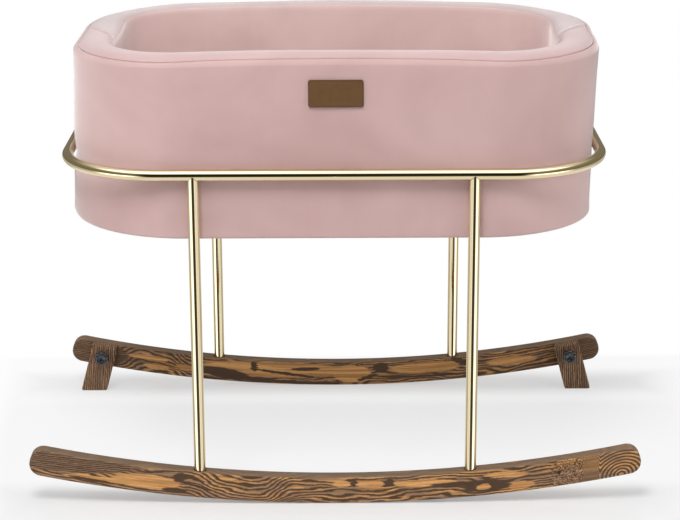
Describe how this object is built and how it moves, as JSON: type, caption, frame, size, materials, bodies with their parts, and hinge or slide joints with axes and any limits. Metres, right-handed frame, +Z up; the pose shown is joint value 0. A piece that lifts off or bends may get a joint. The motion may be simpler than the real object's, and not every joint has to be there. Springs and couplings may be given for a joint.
{
  "type": "rocking cradle",
  "caption": "Rocking cradle: a deep velvet basket in a gold tube rail, on tube legs and curved wooden rockers, with raked fold-down stops clamped by star knobs.",
  "frame": {"origin": "on the floor under the middle of the basket", "axes": "+X along the cradle to its right-hand end, +Y from front to rear, +Z up"},
  "size_m": [0.9698, 0.566, 0.7219],
  "materials": {
    "rocker_wood": "satin, strong dark and caramel contour grain",
    "stop_wood": "satin, fine straight grain",
    "gold_tube": "polished",
    "steel": "zinc plated",
    "plywood": "raw birch",
    "foam": "open-cell foam",
    "velvet": "short-pile velvet, dusty pink",
    "velvet_pale": "short-pile velvet with its pile laid the other way",
    "base_cloth": "thin woven lining cloth",
    "mattress_cover": "ivory cotton",
    "patch_leather": "brown suede with darker edges",
    "black_knob": "moulded, fine texture"
  },
  "bodies": {
    "root": {"rocker_front": "rocker_wood", "rocker_rear": "rocker_wood", "rail": "gold_tube", "leg_front_left": "gold_tube", "leg_front_right": "gold_tube", "leg_rear_left": "gold_tube", "leg_rear_right": "gold_tube", "leg_bottom_plugs": "steel", "leg_top_plugs": "steel", "rail_studs": "steel", "leg_bolts": "steel", "base_board": "plywood", "basket_wall": "plywood", "wall_padding": "foam", "rim_padding": "foam", "outer_cover": "velvet", "lining": "velvet", "rim_cover_front": "velvet", "rim_cover_rear": "velvet_pale", "base_cloth": "base_cloth", "mattress": "mattress_cover", "patch": "patch_leather", "basket_bolts": "steel", "rail_inserts": "steel", "stop_washers": "steel", "stop_bushes": "steel"},
    "stop_left": {"stop_left": "stop_wood"},
    "stop_right": {"stop_right": "stop_wood"},
    "knob_left": {"knob_left": "black_knob", "knob_stud_left": "steel"},
    "knob_right": {"knob_right": "black_knob", "knob_stud_right": "steel"}
  },
  "joints": [
    {"name": "left_stop_fold", "type": "hinge", "parent": "root", "child": "stop_left", "pos_m": [-0.428, 0.259, 0.06664], "axis": [0, -1, 0], "range_deg": [0, 94]},
    {"name": "right_stop_fold", "type": "hinge", "parent": "root", "child": "stop_right", "pos_m": [0.428, 0.259, 0.06664], "axis": [0, 1, 0], "range_deg": [0, 94]},
    {"name": "left_knob_turn", "type": "hinge", "parent": "root", "child": "knob_left", "pos_m": [-0.428, 0.23, 0.06664], "axis": [0, -1, 0], "range_deg": [0, 360]},
    {"name": "right_knob_turn", "type": "hinge", "parent": "root", "child": "knob_right", "pos_m": [0.428, 0.23, 0.06664], "axis": [0, -1, 0], "range_deg": [0, 360]}
  ]
}
